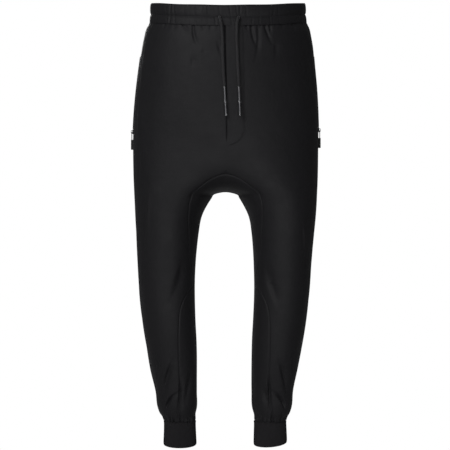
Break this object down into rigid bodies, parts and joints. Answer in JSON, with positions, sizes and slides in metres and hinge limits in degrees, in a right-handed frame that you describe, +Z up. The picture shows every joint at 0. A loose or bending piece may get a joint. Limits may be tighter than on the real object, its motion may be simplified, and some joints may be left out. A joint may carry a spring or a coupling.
{
  "type": "joggers",
  "caption": "Dropped-crotch woven joggers, worn hollow shape, gathered drawcord waist, arched crotch panel, side zip pockets with swinging pulls, ribbed cuffs.",
  "frame": {"origin": "the garment's middle at the height of the waistband, inside the wearer's waist, which holds the garment up", "axes": "+Z up, -Y out of the front, +X to the wearer's left"},
  "size_m": [0.4308, 0.2739, 1.0108],
  "materials": {
    "cloth": "near-black smooth stretch weave with a faint sheen",
    "knit": "near-black rib knit, matt",
    "zip": "black moulded zip chain on woven tape",
    "metal": "dark satin metal",
    "rubber": "black moulded rubber",
    "cord": "near-black braided cord"
  },
  "bodies": {
    "garment": {"waistband": "cloth", "front_right": "cloth", "front_left": "cloth", "back_right": "cloth", "back_left": "cloth", "gusset": "cloth", "fly": "cloth", "cuff_right": "knit", "cuff_left": "knit", "zip_right": "zip", "zip_left": "zip", "slider_right": "metal", "slider_left": "metal", "cord_right": "cord", "cord_left": "cord", "tip_right": "metal", "tip_left": "metal"},
    "pull_right": {"loop_right": "metal", "tab_right": "rubber"},
    "pull_left": {"loop_left": "metal", "tab_left": "rubber"}
  },
  "joints": [
    {"name": "pull_right_hinge", "type": "hinge", "parent": "garment", "child": "pull_right", "pos_m": [-0.21251, 0.01007, -0.2658], "axis": [0, 1, 0], "range_deg": [0, 170]},
    {"name": "pull_left_hinge", "type": "hinge", "parent": "garment", "child": "pull_left", "pos_m": [0.21415, 0.01007, -0.26174], "axis": [0, -1, 0], "range_deg": [0, 170]}
  ]
}
